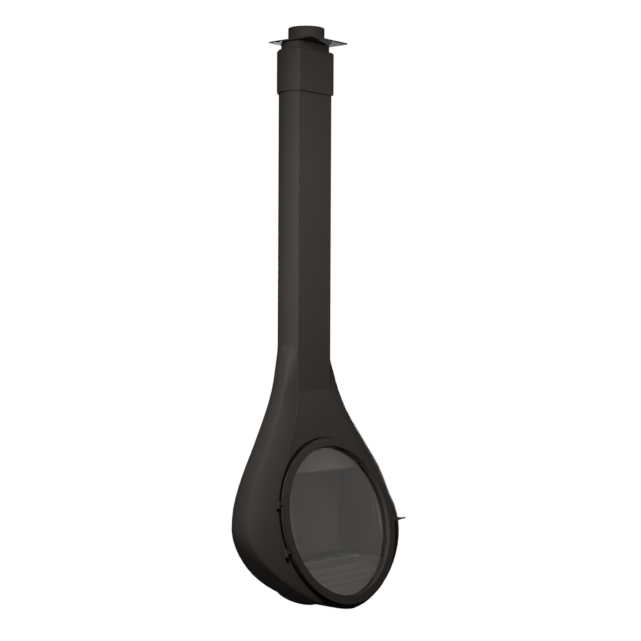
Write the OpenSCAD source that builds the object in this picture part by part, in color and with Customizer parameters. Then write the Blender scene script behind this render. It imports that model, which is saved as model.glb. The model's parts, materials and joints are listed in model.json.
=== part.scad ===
// Hanging fireplace: a teardrop pod with a round glass door, on a D-shaped column
// under the ceiling. The flue axis is vertical. Heights are given as drops, which
// are distances below the top face of the ceiling plate. The front is -Y.

/* [Ceiling plate] */
// Side of the square ceiling plate
plate_size = 230; // [210:5:300]
// Thickness of the ceiling plate
plate_t = 6; // [4:1:10]
// Distance of the plate's centre in front of the flue axis
plate_forward = 10; // [0:1:20]
// Distance between neighbouring anchor holes
anchor_spacing = 196; // [180:2:200]
// Diameter of the anchor holes
anchor_hole_d = 11; // [9:0.5:14]

/* [Flue] */
// Outer diameter of the flue spigot
spigot_d = 150; // [120:5:160]
// Height of the spigot above the ceiling plate
spigot_rise = 57; // [40:1:80]
// Wall of the spigot
spigot_t = 2; // [1.5:0.5:3]
// Wall of the flue liner inside the column
liner_t = 2; // [1:0.5:3]
// Gap between the column casing and the flue liner
liner_gap = 11; // [9:1:14]

/* [Column] */
// Radius of the round side of the column
column_r = 113; // [108:1:125]
// Distance of the flat front of the column from the flue axis
column_flat = 52; // [46:1:60]
// Wall of the column casing
column_t = 3; // [2:0.5:4]
// Drop of the lower end of the column, where the pod begins
column_end = 1248; // [900:10:1300]
// Drop of the upper end of the column casing
column_top = 62; // [55:1:80]

/* [Cover sleeve] */
// Drop of the upper edge of the sleeve
sleeve_top = 34; // [30:1:45]
// Length of the sleeve
sleeve_length = 177; // [140:1:240]
// Distance of the sleeve's outside from the column
sleeve_out = 8; // [6:0.5:12]
// Wall of the sleeve
sleeve_t = 2; // [1.5:0.5:3]

/* [Pod] */
// Drop of the door's centre
door_drop = 1957; // [1900:5:2100]
// Distance of the front face from the flue axis at the door's centre
face_forward = 181; // [165:1:190]
// Angle by which the front face leans back at the top
face_tilt = 13.9; // [12:0.1:15]
// Distance that the front face's edge stands out round the door ring
face_rim = 2; // [1:0.5:6]
// Thickness of the front face
face_t = 5; // [4:0.5:6]
// Angle of the face's straight flanks from the vertical
flank_angle = 30.5; // [28:0.5:34]
// Radius of the hollow curve between a flank and the column
flank_fillet = 300; // [250:10:400]
// Greatest half width of the pod
pod_half_w = 468; // [455:1:480]
// Distance of the pod's back from the flue axis
pod_back = 118; // [106:1:125]
// Distance of the pod's widest line in front of the flue axis
pod_mid = 106; // [95:1:115]
// Distance of the pod's lowest point below the front face
chin_depth = 16; // [12:1:40]
// Wall of the pod shell
pod_t = 4; // [3:0.5:5]

/* [Door] */
// Width of the door ring around the glass
ring_w = 35; // [33:1:38]
// Radius of the clear glass opening
glass_r = 303; // [298:1:304]
// Distance of the door ring's front from the front face
ring_out = 20; // [19:0.5:24]
// Thickness of the sheet that the door ring is made of
ring_t = 4; // [3:0.5:4.5]
// Thickness of the door glass
glass_t = 4; // [3:0.5:4.5]
// Thickness of the rope seal
rope_d = 8; // [6.5:0.5:8]
// Distance of the hinges above and below the door's centre
hinge_rise = 95; // [70:1:110]
// Diameter of the hinge pins
hinge_pin_d = 6; // [5:0.5:6]
// Number of screws that hold the glass retainer
retainer_screws_n = 8; // [6:1:12]

/* [Latch lever] */
// Distance of the lever below the door's centre
lever_drop = 30; // [20:1:40]
// Length of the lever from its pivot to its tip
lever_length = 98; // [85:1:110]
// Diameter of the grip at its thick end
grip_d = 14; // [10:0.5:15]

/* [Firebox] */
// Half width of the firebox between the side linings
fire_half_w = 250; // [235:1:252]
// Distance of the back lining's face behind the flue axis
fire_back = 21; // [10:1:24]
// Thickness of the lining boards
lining_t = 22; // [18:1:24]
// Thickness of the firebox tub
tub_t = 3; // [2:0.5:4]
// Drop of the upper edge of the tub and its linings
tub_top = 1726; // [1720:1:1740]
// Drop of the hearth's upper face
hearth_drop = 2150; // [2140:1:2152]
// Thickness of the hearth slab
hearth_t = 25; // [22:1:26]
// Number of bars in the grate
grate_bars = 9; // [7:2:13]

/* [Air inlet] */
// Outer radius of the air inlet collar
inlet_r = 98; // [85:1:102]
// Distance that the collar stands out under the pod
inlet_out = 10; // [6:1:20]
// Number of round windows in the air disc
inlet_windows = 4; // [3:1:5]
// Diameter of a window
window_d = 36; // [28:1:38]

/* [Hidden] */

// Fine enough for true circles, and for smooth facets on the lofted pod
$fn = 96;
eps = 0.01;
far = 1000;

// Finishes
steel = [0.20, 0.19, 0.185];
dark_steel = [0.11, 0.11, 0.11];
bare_steel = [0.55, 0.55, 0.56];
board = [0.62, 0.57, 0.50];
iron = [0.13, 0.13, 0.135];
rope = [0.25, 0.25, 0.25];

// Running gaps
slide_gap = 1;
fit_gap = 0.3;
pin_gap = 0.1;

// Round recess in the ceiling plate, in which the spigot's foot lies
spigot_seat = plate_t / 2;
spigot_foot = 4;

// Column and its hanger
neck_r = column_r - 9.5;
neck_flat = column_flat - 7;
neck_t = 4;
hanger_length = 150;
hanger_band_top = column_top - 6;
screw_d = 6;
screw_key_d = 3.4;
screw_drop = 120;
screw_angles = [30, 90, 150];
liner_r = column_r - column_t - liner_gap;
liner_flat = column_flat - column_t - liner_gap;
liner_end = column_end + 52;
sleeve_r = column_r + sleeve_out;
sleeve_flat = column_flat + sleeve_out;
shoulder_h = sleeve_out - slide_gap;
glide_l = 60;
glide_w = 14;
band_r = column_r - column_t - fit_gap;
band_flat = column_flat - column_t - fit_gap;
band_t = liner_gap - 3;
band_h = 60;
spacer_end = 260;
spacer_h = 24;
spacer_w = 16;

// Door ring and the face around it
ring_r = glass_r + ring_w;
face_r = ring_r + face_rim;

// Front face: a vertical strip under the column's flat, then the leaning face
wall_w = sqrt(column_r * column_r - column_flat * column_flat);
bend_drop = door_drop - (face_forward - column_flat) / tan(face_tilt);
flank_x = face_r * cos(flank_angle);
flank_s = face_r * sin(flank_angle);
corner_s = flank_s + (flank_x - wall_w) / tan(flank_angle);
fillet_tangent = flank_fillet * tan(flank_angle / 2);
fillet_high = corner_s + fillet_tangent;
fillet_low = corner_s - fillet_tangent * cos(flank_angle);
chin_w = 6;
flange_w = 11;

// Shares of the pod's growth between the column and its widest level:
// height share, half width share, back share, forward share
FLARE = [
  [0, 0, 0, 0], [0.12, 0.079, -0.011, 0.215], [0.24, 0.155, 0.024, 0.317], [0.38, 0.299, 0.143, 0.381],
  [0.55, 0.534, 0.363, 0.56], [0.72, 0.778, 0.617, 0.7], [0.87, 0.923, 0.836, 0.726], [1, 1, 1, 1]
];
widest_drop = door_drop + 17;
tip_forward = 262;
belly_power = 3.3;
belly_round = 1.644;
belly_square = 1.093;
// The pod's plan changes from round at the column to squarer: exponent, and the share where it ends
plan_power = 2.3;
plan_share = 0.6;
front_steps = 7;
back_steps = 12;
neck_steps = 5;
flare_steps = 13;
belly_steps = 15;

// Door, measured from the front face outwards
open_r = glass_r + 17;
retainer_r = open_r - 2;
seal_r = open_r + 7;
seal_plate_r = seal_r + rope_d / 2 + 2;
seal_plate_t = 3;
tube_t = 3;
gasket_t = 1;
glass_front = 2;
glass_disc_r = glass_r + 6;
retainer_t = 2.5;
retainer_screw_r = glass_r + 11;
retainer_screw_d = 4;
hinge_x = ring_r + 7;
hinge_out = rope_d + 1;
knuckle_r = 6;
knuckle_l = 10;
knuckle_gap = 0.3;
leaf_t = 4;
leaf_h = 32;

// Latch lever, in the slot between the seal plate and the door ring
pivot_x = glass_r + 19;
pivot_d = 6;
lever_t = 3.4;
lever_w = 10;
blade_length = lever_length / 2;
tongue_length = 23;
tongue_w = 8;
slot_low = rope_d + seal_plate_t;
slot_high = ring_out - ring_t;
lever_low = (slot_low + slot_high - lever_t) / 2;
keeper_x = ring_r + 0.7;
keeper_h = 12;
keeper_t = 3;

// Firebox
tub_half_w = fire_half_w + lining_t + tub_t;
tub_back = fire_back + lining_t + tub_t;
tub_floor = hearth_drop + hearth_t + tub_t;
tub_shoulder = tub_floor - 53;
tub_floor_w = tub_half_w - 50;
tub_hole_d = 104;
bracket_x = 110;
bracket_w = 30;
bracket_inset = 74;
throat_t = 3;
tub_depth = face_t + 7;
corner_depth = 34;
dome_t = 2.5;
dome_back = 30;
dome_top = liner_end - 8;
apron_top_y = -150;
apron_t = 8;
apron_bottom_drop = door_drop + glass_r - 1;
apron_bottom_y = -232;
apron_fall = apron_bottom_drop - hearth_drop;
apron_length = sqrt(pow(apron_fall, 2) + pow(apron_top_y - apron_bottom_y, 2));
apron_lean = atan2(apron_top_y - apron_bottom_y, apron_fall);
apron_ribs = 3;
grate_l = 200;
grate_w = 116;
grate_bar_w = 7;
grate_t = 10;
grate_lip = 8;
grate_y = apron_top_y / 2 + 10;
rail_half_l = fire_half_w - 60;
rail_inset = 14;
rail_rise = 26;
rail_post_d = 8;
log_rail_d = 10;
air_slot = 12;
pan_depth = 10;
rail_w = 12;
rail_t = 4;
wash_y = -75;
wash_t = 16;
wash_top = 1660;
wash_bottom = 1764;
baffle_t = 20;
baffle_drop = tub_top + 34;
smoke_gap = 39;
baffle_front = wash_y + wash_t + smoke_gap;
upper_baffle_front = wash_y + wash_t + 6;
upper_baffle_w = 256;
upper_rail_t = 8;

// Air inlet, on an axis that leans back under the pod
inlet_y = 30;
inlet_drop = 2268;
inlet_tilt = 21.5;
inlet_t = 6;
inlet_depth = 26;
grille_t = 3;
disc_t = 2.5;
window_ring_r = 52;
duct_r = 44;
duct_t = 2;
tab_l = 22;

// ---------- shapes that repeat ----------

// D-shaped outline: a circle with a flat front
module d_shape(r, flat) {
  intersection() {
    circle(r = r);
    translate([-2 * r, -flat]) square([4 * r, 4 * r]);
  }
}

// D-shaped tube between two drops
module d_tube(r, flat, wall, top, bottom) {
  translate([0, 0, -bottom]) linear_extrude(height = bottom - top) difference() {
    d_shape(r, flat);
    d_shape(r - wall, flat - wall);
  }
}

// Everything is measured from the flue axis, which lies behind the plate's centre
module on_axis() {
  translate([0, plate_forward, 0]) children();
}

// Frame of the door: X across, Y up the leaning face, Z out of it
module on_face() {
  translate([0, -face_forward, -door_drop]) rotate([90 - face_tilt, 0, 0]) children();
}

// Frame of the air inlet: Z along its axis, out of the pod
module on_inlet() {
  translate([0, inlet_y, -inlet_drop]) rotate([180 + inlet_tilt, 0, 0]) children();
}

// A disc or a ring between two distances from the front face
module face_ring(outer, inner, low, high) {
  translate([0, 0, low]) difference() {
    cylinder(r = outer, h = high - low);
    translate([0, 0, -1]) cylinder(r = inner, h = high - low + 2);
  }
}

// A box given by its low and high corners
module span(low, high) {
  translate(low) cube(high - low);
}

// ---------- outline of the front face ----------

function face_s(drop) = (door_drop - drop) / cos(face_tilt);

// Half width of the front face at a height above the door's centre along the face
function face_w(s) =
  s >= fillet_high ? wall_w :
  s > fillet_low ? wall_w + flank_fillet - sqrt(flank_fillet * flank_fillet - pow(fillet_high - s, 2)) :
  s > flank_s ? flank_x - (s - flank_s) * tan(flank_angle) :
  sqrt(max(face_r * face_r - s * s, chin_w * chin_w));

// Distance of the front face in front of the axis
function face_y(drop) = max(column_flat, face_forward + (drop - door_drop) * tan(face_tilt));

// Distance from the front face back to the seat of the shell
function seat(drop) = drop > bend_drop - 1 ? face_t / cos(face_tilt) : face_t;

chin_drop = door_drop + face_r * cos(face_tilt);
chin_y = face_y(chin_drop);
pod_bottom = chin_drop + chin_depth;
seam_w = sqrt(column_r * column_r - pow(column_flat - face_t, 2)) - wall_w;

// ---------- sections of the pod ----------

// Smooth curve through the flare's shares, with level ends
function slope(k, c) = k == 0 || k == len(FLARE) - 1 ? 0 :
  (FLARE[k + 1][c] - FLARE[k - 1][c]) / (FLARE[k + 1][0] - FLARE[k - 1][0]);
function segment(t, k = 0) = t <= FLARE[k + 1][0] || k == len(FLARE) - 2 ? k : segment(t, k + 1);
function hermite(a, b, ma, mb, u) =
  a * (1 + 2 * u) * pow(1 - u, 2) + b * u * u * (3 - 2 * u) + ma * u * pow(1 - u, 2) - mb * u * u * (1 - u);
function share(t, c) =
  let (k = segment(t), gap = FLARE[k + 1][0] - FLARE[k][0], u = (t - FLARE[k][0]) / gap)
  hermite(FLARE[k][c], FLARE[k + 1][c], slope(k, c) * gap, slope(k + 1, c) * gap, u);

// One section as [drop, half width, back, widest line, front corner, front face, plan exponent]
function flare_section(drop, inset) =
  let (t = (drop - column_end) / (widest_drop - column_end), k = min(max(t / plan_share, 0), 1))
  [drop,
   column_r + share(t, 1) * (pod_half_w - column_r) - inset,
   column_r + share(t, 2) * (pod_back - column_r) - inset,
   -share(t, 3) * pod_mid,
   face_w(face_s(drop)) + seam_w * max(0, 1 - t / 0.3) - inset,
   seat(drop) + inset - face_y(drop),
   2 + (plan_power - 2) * k * k * (3 - 2 * k)];

function belly_section(a, inset) =
  let (q = sin(a), drop = widest_drop + (pod_bottom - inset - widest_drop) * q,
       squeeze = pow(1 - pow(q, belly_power), 1 / belly_power),
       half = (pod_half_w - inset) * pow(1 - pow(q, belly_round), 1 / belly_round), below = max(0, drop - chin_drop),
       chin_q = below / (pod_bottom - chin_drop))
  [drop,
   half,
   (pod_back - inset + tip_forward) * squeeze - tip_forward,
   -pod_mid - (tip_forward - pod_mid) * q,
   max(min(face_w(face_s(drop)), half) - 1.4 * inset, chin_w / 2),
   below == 0 ? seat(drop) + inset - face_y(drop) :
     -tip_forward - (chin_y - seat(drop) - inset - tip_forward) * sqrt(max(0, 1 - chin_q * chin_q)),
   plan_power + belly_square * q];

// Points of one section, from the left front corner round the back to the right one
function section_points(s) =
  let (half = max(s[1], s[4] + 1), mid = max(s[3], s[5] + 1), back = max(s[2], mid + 2),
       depth = (mid - s[5]) / sqrt(1 - pow(s[4] / half, 2)), a0 = acos(s[4] / half),
       side = concat(
         [for (i = [0:front_steps - 1]) let (a = a0 * (1 - i / front_steps))
           [half * cos(a), mid - depth * sin(a)]],
         [for (i = [0:back_steps - 1]) let (a = 90 * i / back_steps)
           [half * pow(cos(a), 2 / s[6]), mid + (back - mid) * pow(sin(a), 2 / s[6])]]),
       n = len(side))
  concat(
    [for (i = [0:n - 1]) [-side[i][0], side[i][1], -s[0]]],
    [[0, back, -s[0]]],
    [for (i = [n - 1:-1:0]) [side[i][0], side[i][1], -s[0]]]);

// Closed solid of the pod, drawn in by inset on every side
module pod_solid(inset) {
  lift = inset > 0 ? 40 : 0;
  drops = concat([for (i = [0:neck_steps]) column_end + (bend_drop - column_end) * i / neck_steps],
                 [for (i = [1:flare_steps]) bend_drop + (widest_drop - bend_drop) * i / flare_steps]);
  upper = [for (d = drops) flare_section(d, inset)];
  lower = [for (i = [1:belly_steps]) belly_section(i / belly_steps * 87, inset)];
  sections = concat(lift > 0 ? [concat([upper[0][0] - lift], [for (k = [1:6]) upper[0][k]])] : [],
                    upper, lower);
  rings = [for (s = sections) section_points(s)];
  n = len(rings[0]);
  m = len(rings);
  polyhedron(
    points = [for (r = rings) each r],
    faces = concat(
      [[for (j = [0:n - 1]) j]],
      [[for (j = [n - 1:-1:0]) (m - 1) * n + j]],
      [for (i = [0:m - 2], j = [0:n - 1]) let (a = i * n + j, b = i * n + (j + 1) % n) [a, a + n, b]],
      [for (i = [0:m - 2], j = [0:n - 1]) let (a = i * n + j, b = i * n + (j + 1) % n) [b, a + n, b + n]]));
}

// Outline of the leaning face, in the face's own frame
module face_outline(inset = 0) {
  top_s = face_s(bend_drop);
  low_a = -90;
  high_a = flank_angle;
  arc = [for (i = [0:48]) let (a = low_a + (high_a - low_a) * i / 48)
    [(face_r - inset) * cos(a), (face_r - inset) * sin(a)]];
  flank = [for (i = [1:20]) let (s = flank_s + (top_s - flank_s) * i / 20) [face_w(s) - inset, s]];
  side = concat(arc, flank);
  polygon(concat(side, [for (i = [len(side) - 1:-1:1]) [-side[i][0], side[i][1]]]));
}

// ---------- hanger and column ----------

module ceiling_plate() {
  color(steel) difference() {
    translate([-plate_size / 2, -plate_size / 2, -plate_t]) cube([plate_size, plate_size, plate_t]);
    on_axis() translate([0, 0, -spigot_seat]) cylinder(d = spigot_d + 2 * (spigot_foot + fit_gap), h = plate_t);
    on_axis() translate([0, 0, -plate_t - 1]) linear_extrude(height = plate_t + 2)
      intersection() {
        circle(d = spigot_d - 2 * spigot_t);
        d_shape(liner_r - liner_t, liner_flat - liner_t);
      }
    for (x = [-1, 1], y = [-1, 1])
      translate([x * anchor_spacing / 2, y * anchor_spacing / 2, -plate_t - 1])
        cylinder(d = anchor_hole_d, h = plate_t + 2);
  }
}

module flue_spigot() {
  color(steel) on_axis() difference() {
    union() {
      translate([0, 0, -spigot_seat]) cylinder(d = spigot_d + 2 * spigot_foot, h = spigot_seat);
      translate([0, 0, -spigot_seat]) cylinder(d = spigot_d, h = spigot_rise + spigot_seat);
    }
    translate([0, 0, -plate_t]) cylinder(d = spigot_d - 2 * spigot_t, h = spigot_rise + plate_t + 1);
  }
}

module hanger_collar() {
  color(steel) on_axis() difference() {
    union() {
      d_tube(neck_r, neck_flat, neck_t, plate_t, hanger_length);
      d_tube(column_r - column_t, column_flat - column_t, column_r - column_t - neck_r + neck_t,
             hanger_band_top, hanger_length);
    }
    for (a = screw_angles)
      translate([0, 0, -screw_drop]) rotate([0, 90, a]) cylinder(d = screw_d, h = far);
  }
}

module collar_screws() {
  length = column_r - fit_gap - neck_r + neck_t;
  color(bare_steel) on_axis() for (a = screw_angles) translate([0, 0, -screw_drop]) rotate([0, 90, a])
    translate([0, 0, neck_r - neck_t]) difference() {
      cylinder(d = screw_d, h = length);
      translate([0, 0, length - 3]) cylinder(d = screw_key_d, h = 4, $fn = 6);
    }
}

module cover_sleeve() {
  color(steel) on_axis()
    d_tube(sleeve_r, sleeve_flat, sleeve_t, sleeve_top + shoulder_h, sleeve_top + sleeve_length);
}

// D-shaped frustum that narrows by draw over its height
module d_frustum(r, flat, h, draw) {
  intersection() {
    cylinder(r1 = r, r2 = r - draw, h = h);
    translate([-far, -flat, 0]) rotate([-atan(draw / h), 0, 0]) translate([0, 0, -far]) cube(2 * far);
  }
}

// Sloping shoulder that closes the sleeve down to a running gap round the column
module sleeve_shoulder() {
  color(steel) on_axis() translate([0, 0, -sleeve_top - shoulder_h]) difference() {
    d_frustum(sleeve_r, sleeve_flat, shoulder_h, shoulder_h);
    translate([0, 0, -sleeve_t]) d_frustum(sleeve_r, sleeve_flat, shoulder_h, shoulder_h);
    linear_extrude(height = far) d_shape(column_r + slide_gap, column_flat + slide_gap);
  }
}

// Felt strips that let the sleeve slide on the column and hold it where it is put
module sleeve_glides() {
  color(rope) on_axis() intersection() {
    d_tube(sleeve_r - sleeve_t, sleeve_flat - sleeve_t, sleeve_out - sleeve_t - fit_gap,
           sleeve_top + sleeve_length - glide_l, sleeve_top + sleeve_length);
    for (a = screw_angles) rotate([0, 0, a]) translate([0, -glide_w / 2, -far]) cube([far, glide_w, far]);
  }
}

module column_casing() {
  color(steel) on_axis() difference() {
    d_tube(column_r, column_flat, column_t, column_top, column_end);
    for (a = screw_angles)
      translate([0, 0, -screw_drop]) rotate([0, 90, a]) cylinder(d = screw_d, h = far);
  }
}

module flue_liner() {
  color(bare_steel) on_axis() d_tube(liner_r, liner_flat, liner_t, plate_t, liner_end);
}

// Bent clips that hold the liner in the middle of the casing
module liner_spacers() {
  color(bare_steel) on_axis() intersection() {
    for (drop = [column_end - spacer_end, column_end / 2, spacer_end])
      d_tube(column_r - column_t, column_flat - column_t, liner_gap, drop, drop + spacer_h);
    for (a = screw_angles) rotate([0, 0, a]) translate([0, -spacer_w / 2, -far * 2]) cube([far, spacer_w, far * 2]);
  }
}

// Band inside the column's lower end, on which the pod is hung
module joint_band() {
  color(dark_steel) on_axis() d_tube(band_r, band_flat, band_t, column_end - band_h, column_end);
}

// Ring that closes the gap between the liner and the joint band
module throat_plate() {
  color(dark_steel) on_axis() translate([0, 0, -column_end]) linear_extrude(height = 8) difference() {
    d_shape(band_r - band_t, band_flat - band_t);
    d_shape(liner_r + fit_gap, liner_flat + fit_gap);
  }
}

// ---------- pod ----------

module pod_shell() {
  color(steel) on_axis() resize([0, 0, 0]) difference() {
    pod_solid(0);
    pod_solid(pod_t);
    on_face() translate([0, 0, -40]) linear_extrude(height = 80) face_outline(flange_w);
    translate([flange_w - wall_w, -far, -face_drop_high()])
      cube([2 * (wall_w - flange_w), far, face_drop_high() - column_end + 40]);
    on_inlet() translate([0, 0, -60]) cylinder(r = inlet_r + 0.2, h = 120);
  }
}

function face_drop_high() = bend_drop + 60;

module front_plate() {
  color(steel) on_axis() {
    translate([0, -column_flat + face_t, 0]) rotate([90, 0, 0]) linear_extrude(height = face_t)
      polygon(concat(
        [for (i = [0:16]) let (d = column_end + (bend_drop - column_end) * i / 16) [face_w(face_s(d)), -d]],
        [for (i = [16:-1:0]) let (d = column_end + (bend_drop - column_end) * i / 16) [-face_w(face_s(d)), -d]]));
    on_face() translate([0, 0, -face_t]) linear_extrude(height = face_t) difference() {
      face_outline();
      circle(r = open_r);
    }
  }
}

// ---------- firebox ----------

// Outline of the tub across the pod, drawn in by inset
module tub_outline(inset = 0) {
  w = tub_half_w - inset;
  f = tub_floor_w - inset * 0.6;
  polygon([[-w, -tub_top], [-w, -tub_shoulder], [-f, inset - tub_floor], [f, inset - tub_floor],
           [w, -tub_shoulder], [w, -tub_top]]);
}

// Prism of the tub's outline between two distances behind the axis
module tub_prism(inset, front, back) {
  translate([0, back, 0]) rotate([90, 0, 0]) linear_extrude(height = back - front) tub_outline(inset);
}

// Removes what lies in front of a plane at a distance behind the front face
module behind_face(depth) {
  difference() {
    children();
    on_face() translate([-far, -far, -depth]) cube([2 * far, 2 * far, far]);
  }
}

// The tub, with a flange and a round rim behind the door opening
module firebox_tub() {
  color(dark_steel) on_axis() difference() {
    union() {
      behind_face(tub_depth) difference() {
        tub_prism(0, -260, tub_back);
        span([-far, -far, -3 * far], [far, apron_top_y, -hearth_drop]);
        for (side = [0, 1]) mirror([side, 0, 0]) on_face() translate([flank_x, flank_s, -corner_depth])
          rotate([0, 0, flank_angle]) translate([-flange_w - 1, -far, 0]) cube([far, 2 * far, far]);
      }
      on_face() translate([0, 0, -tub_depth - throat_t]) cylinder(r = open_r + throat_t, h = throat_t);
      on_face() face_ring(open_r + throat_t, open_r, -tub_depth - eps, -face_t);
      throat();
    }
    difference() {
      tub_prism(tub_t, -far, tub_back - tub_t);
      span([-far, -far, -3 * far], [far, far, tub_t - tub_floor]);
      on_face() face_ring(far, open_r, -tub_depth, far);
    }
    behind_face(tub_depth) span([-tub_half_w + tub_t, -far, -tub_top - eps], [tub_half_w - tub_t, tub_back - tub_t, 0]);
    intersection() {
      on_face() translate([0, 0, -far]) cylinder(r = open_r, h = far);
      span([-far, -far, -3 * far], [far, apron_top_y, -hearth_drop]);
    }
    on_duct_hole() cylinder(d = tub_hole_d, h = 60, center = true);
  }
}

// Lower part of a round wall behind the door opening, in front of the apron
module throat() {
  difference() {
    on_face() translate([0, 0, -face_t - 90]) cylinder(r = open_r + throat_t, h = 90 - eps);
    span([-far, -far, -hearth_drop], [far, far, 0]);
    on_apron() translate([-far, -far, -far - apron_t]) cube([2 * far, 2 * far, far]);
  }
}

module on_duct_hole() {
  translate([0, inlet_y - (inlet_drop - tub_floor) * tan(inlet_tilt), -tub_floor]) children();
}

// Brackets that carry the tub from the pod's back
module tub_brackets() {
  color(dark_steel) on_axis() intersection() {
    for (x = [-1, 1], drop = [tub_top + bracket_inset, tub_floor - bracket_inset - bracket_w])
      span([x * bracket_x - bracket_w / 2, tub_back, -drop - bracket_w], [x * bracket_x + bracket_w / 2, pod_back, -drop]);
    pod_solid(pod_t + fit_gap);
  }
}

// Solid that narrows from the top of the tub to the liner, drawn in by inset
module dome_solid(inset, over) {
  w = tub_half_w - tub_t / 2 - inset;
  front = wash_y + wash_t + fit_gap + inset;
  intersection() {
    hull() {
      translate([0, 0, -liner_end - 1]) linear_extrude(height = liner_end + 1 - dome_top + over)
        d_shape(liner_r + fit_gap + dome_t - inset, liner_flat + fit_gap + dome_t - inset);
      translate([-w, front, -tub_top - over]) cube([2 * w, dome_back - inset - front, 1 + over]);
    }
    pod_solid(pod_t + 1 + inset);
  }
}

// Hood that leads the smoke from the firebox up to the liner
module smoke_dome() {
  color(dark_steel) on_axis() difference() {
    dome_solid(0, 0);
    dome_solid(dome_t, 1);
  }
}

module lining_back() {
  color(board) on_axis() span([-fire_half_w, fire_back, -tub_shoulder + 3], [fire_half_w, fire_back + lining_t, -tub_top]);
}

module side_lining(side) {
  color(board) on_axis() behind_face(face_t + 8) mirror([side < 0 ? 1 : 0, 0, 0])
    span([fire_half_w, -230, -tub_shoulder + 3], [fire_half_w + lining_t, fire_back + lining_t, -tub_top]);
}

module lining_left() {
  side_lining(-1);
}

module lining_right() {
  side_lining(1);
}

module hearth_slab() {
  w = tub_floor_w - tub_t - 2;
  hole_w = grate_l - 2 * grate_lip;
  hole_l = grate_w - 2 * grate_lip;
  color(board) on_axis() difference() {
    span([-w, apron_top_y, -hearth_drop - hearth_t], [w, fire_back + lining_t, -hearth_drop]);
    translate([-hole_w / 2, grate_y - hole_l / 2, -hearth_drop - hearth_t - 1])
      cube([hole_w, hole_l + air_slot, hearth_t + 2]);
    translate([0, grate_y, -hearth_drop]) cube([grate_l + 1, grate_w + 1, 2 * grate_t], center = true);
    translate([-30, grate_y, -hearth_drop - hearth_t - 1]) cube([60, 100, 13]);
  }
}

// Frame of the apron: X across, Y up its slope, Z towards the fire
module on_apron() {
  translate([0, apron_top_y, -hearth_drop]) rotate([90 - apron_lean, 0, 0]) children();
}

// Sloping front of the hearth, ribbed across, down to the foot of the door opening
module hearth_apron() {
  color(board) on_axis() intersection() {
    span([-far, -far, -3 * far], [far, apron_top_y, far]);
    on_apron() {
      translate([-far, -apron_length, -apron_t]) cube([2 * far, apron_length, apron_t]);
      for (i = [1:apron_ribs])
        translate([-far, -i * apron_length / (apron_ribs + 2), -eps]) cube([2 * far, 4, 3]);
    }
    on_face() translate([0, 0, -far]) cylinder(r = open_r - fit_gap, h = far - face_t - 1);
  }
}

// Low rail that keeps the logs off the glass
module log_rail() {
  color(iron) on_axis() {
    for (x = [-1, 1] * rail_half_l * 0.8) translate([x, apron_top_y + rail_inset, -hearth_drop]) cylinder(d = rail_post_d, h = rail_rise);
    translate([-rail_half_l, apron_top_y + rail_inset, -hearth_drop + rail_rise]) rotate([0, 90, 0]) cylinder(d = log_rail_d, h = 2 * rail_half_l);
  }
}

module grate() {
  pitch = (grate_l - grate_bar_w) / (grate_bars - 1);
  color(iron) on_axis() translate([0, grate_y, -hearth_drop - grate_t]) {
    for (y = [-1, 1])
      translate([-grate_l / 2, y * (grate_w / 2 - 3.5) - 3.5, 0]) cube([grate_l, 7, grate_t]);
    for (i = [0:grate_bars - 1])
      translate([-grate_l / 2 + i * pitch, -grate_w / 2, 0]) cube([grate_bar_w, grate_w, grate_t]);
  }
}

// Tray that catches the ash under the grate
module ash_pan() {
  l = grate_l - 2 * grate_lip - 4;
  w = grate_w - 2 * grate_lip - 4;
  color(dark_steel) on_axis() translate([0, grate_y, -hearth_drop - hearth_t]) difference() {
    translate([-l / 2, -w / 2, 0]) cube([l, w, pan_depth]);
    translate([-l / 2 + 2, -w / 2 + 2, 2]) cube([l - 4, w - 4, pan_depth]);
  }
}

module baffle_rails() {
  color(dark_steel) on_axis() for (x = [-1, 1])
    translate([x * (fire_half_w - rail_w / 2), 0, -baffle_drop - baffle_t - rail_t / 2])
      translate([-rail_w / 2, baffle_front, -rail_t / 2]) cube([rail_w, fire_back - baffle_front, rail_t]);
}

module baffle_lower() {
  color(board) on_axis()
    span([1 - fire_half_w, baffle_front, -baffle_drop - baffle_t], [fire_half_w - 1, fire_back, -baffle_drop]);
}

// Bars on the side linings that carry the upper baffle
module baffle_spacers() {
  color(board) on_axis() for (x = [-1, 1])
    span([x * (fire_half_w + 6) - 6, upper_baffle_front, -tub_top], [x * (fire_half_w + 6) + 6, baffle_front, upper_rail_t - tub_top]);
}

module baffle_upper() {
  color(board) on_axis()
    span([-upper_baffle_w, upper_baffle_front, upper_rail_t - tub_top],
         [upper_baffle_w, fire_back - smoke_gap, upper_rail_t - tub_top + baffle_t]);
}

// Board behind the top of the glass, which sends the air down the pane
module air_wash_board() {
  color(board) on_axis()
    span([-fire_half_w, wash_y, -wash_bottom], [fire_half_w, wash_y + wash_t, -wash_top]);
}

// ---------- air inlet ----------

module air_duct() {
  color(dark_steel) on_axis() difference() {
    on_inlet() translate([0, 0, -inlet_depth - 140]) cylinder(r = duct_r, h = 140);
    on_inlet() translate([0, 0, -inlet_depth - 150]) cylinder(r = duct_r - duct_t, h = 160);
    span([-far, -far, -tub_floor], [far, far, 0]);
  }
}

module inlet_collar() {
  color(steel) on_axis() on_inlet() difference() {
    translate([0, 0, -inlet_depth]) cylinder(r = inlet_r, h = inlet_depth + inlet_out);
    translate([0, 0, grille_t - inlet_depth]) cylinder(r = inlet_r - inlet_t, h = inlet_depth + inlet_out);
    translate([0, 0, -inlet_depth - 1]) cylinder(r = duct_r - duct_t, h = 2 + grille_t);
  }
}

// Ring of round windows, as cutters
module windows(turn) {
  for (i = [0:inlet_windows - 1])
    rotate([0, 0, turn + i * 360 / inlet_windows]) translate([window_ring_r, 0, -1])
      cylinder(d = window_d, h = 20);
}

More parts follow.
